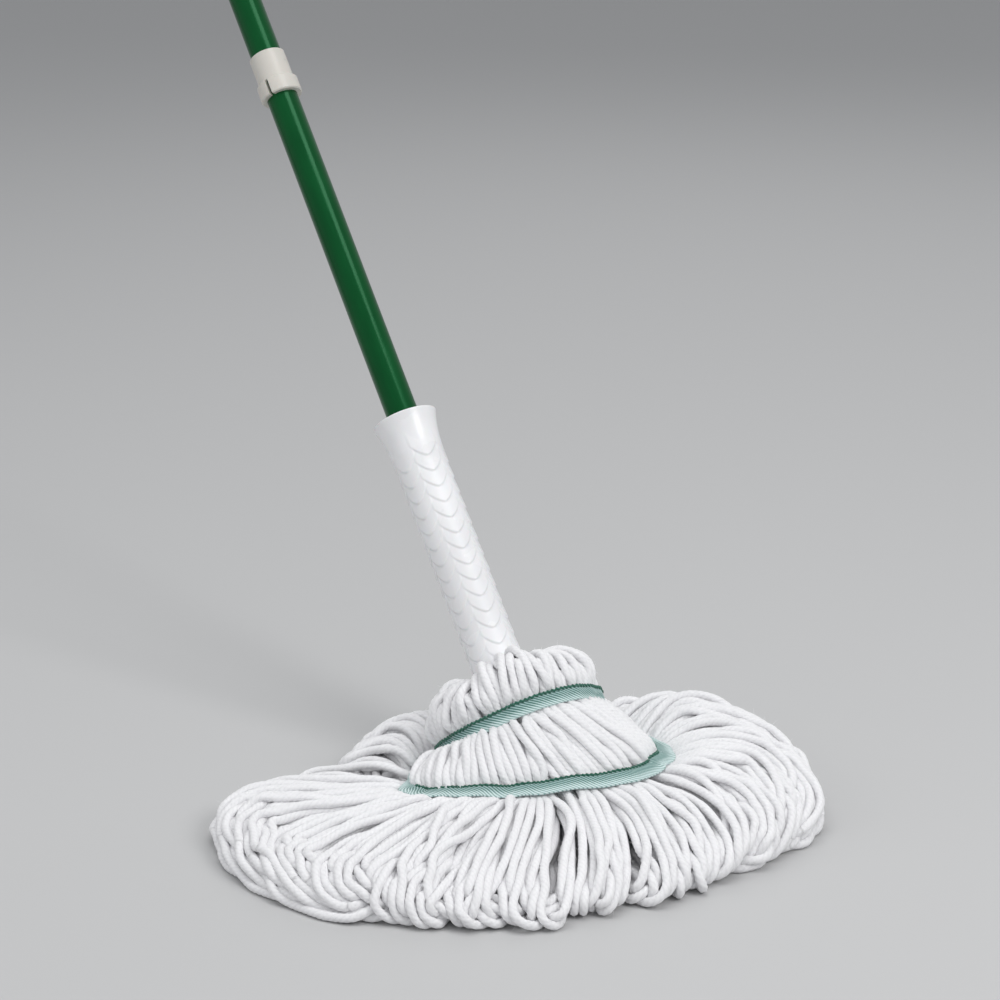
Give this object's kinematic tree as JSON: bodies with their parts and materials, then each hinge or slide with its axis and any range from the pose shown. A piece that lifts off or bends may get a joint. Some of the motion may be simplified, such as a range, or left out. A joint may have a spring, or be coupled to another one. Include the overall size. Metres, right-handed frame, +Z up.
{
  "type": "self-wringing twist mop",
  "caption": "String mop on a leaning green steel pole, with a white wringer sleeve that slides up the pole and twists, a stop collar, and a looped yarn head bound by two tapes.",
  "frame": {"origin": "where the pole's axis meets the floor, on the flat underside of the yarn", "axes": "+Z up; the pole leans towards +Y by 38.8 degrees from the vertical, in the YZ plane; X is across"},
  "size_m": [0.3888, 0.958, 0.9741],
  "materials": {
    "green_paint": "gloss",
    "ivory_plastic": "satin",
    "sleeve_plastic": "gloss",
    "white_plastic": "satin",
    "bush_plastic": "matt",
    "zinc_steel": "zinc plated",
    "cotton_yarn": "twisted yarn",
    "mint_tape": "woven tape"
  },
  "bodies": {
    "handle": {"handle_tube": "green_paint", "hang_cap": "ivory_plastic", "stop_collar": "ivory_plastic", "split_ring": "ivory_plastic", "collar_pins": "zinc_steel", "tip_plug": "white_plastic", "yarn_spool": "white_plastic", "hub_cap": "white_plastic", "hub_washer": "zinc_steel", "hub_screw": "zinc_steel", "hub_cross_pin": "zinc_steel", "hub_yarn": "cotton_yarn", "hub_tie_wires": "zinc_steel", "yarn_skirt": "cotton_yarn"},
    "bushes": {"lower_bush": "bush_plastic", "upper_bush": "bush_plastic", "yarn_middle": "cotton_yarn", "lower_tape": "mint_tape"},
    "sleeve": {"wringer_sleeve": "sleeve_plastic", "mouth_seat": "bush_plastic", "bush_retainer": "white_plastic", "foot_ring": "white_plastic", "foot_rivets": "zinc_steel", "foot_yarn": "cotton_yarn", "foot_tie_wires": "zinc_steel", "yarn_ruff": "cotton_yarn", "upper_tape": "mint_tape"}
  },
  "joints": [
    {"name": "sleeve_slide", "type": "slide", "parent": "handle", "child": "bushes", "axis": [0, 0.6266, 0.7793], "range_m": [0, 0.272]},
    {"name": "sleeve_twist", "type": "hinge", "parent": "bushes", "child": "sleeve", "pos_m": [0, 0.11279, 0.14028], "axis": [0, 0.6266, 0.7793], "range_deg": [0, 450]}
  ]
}
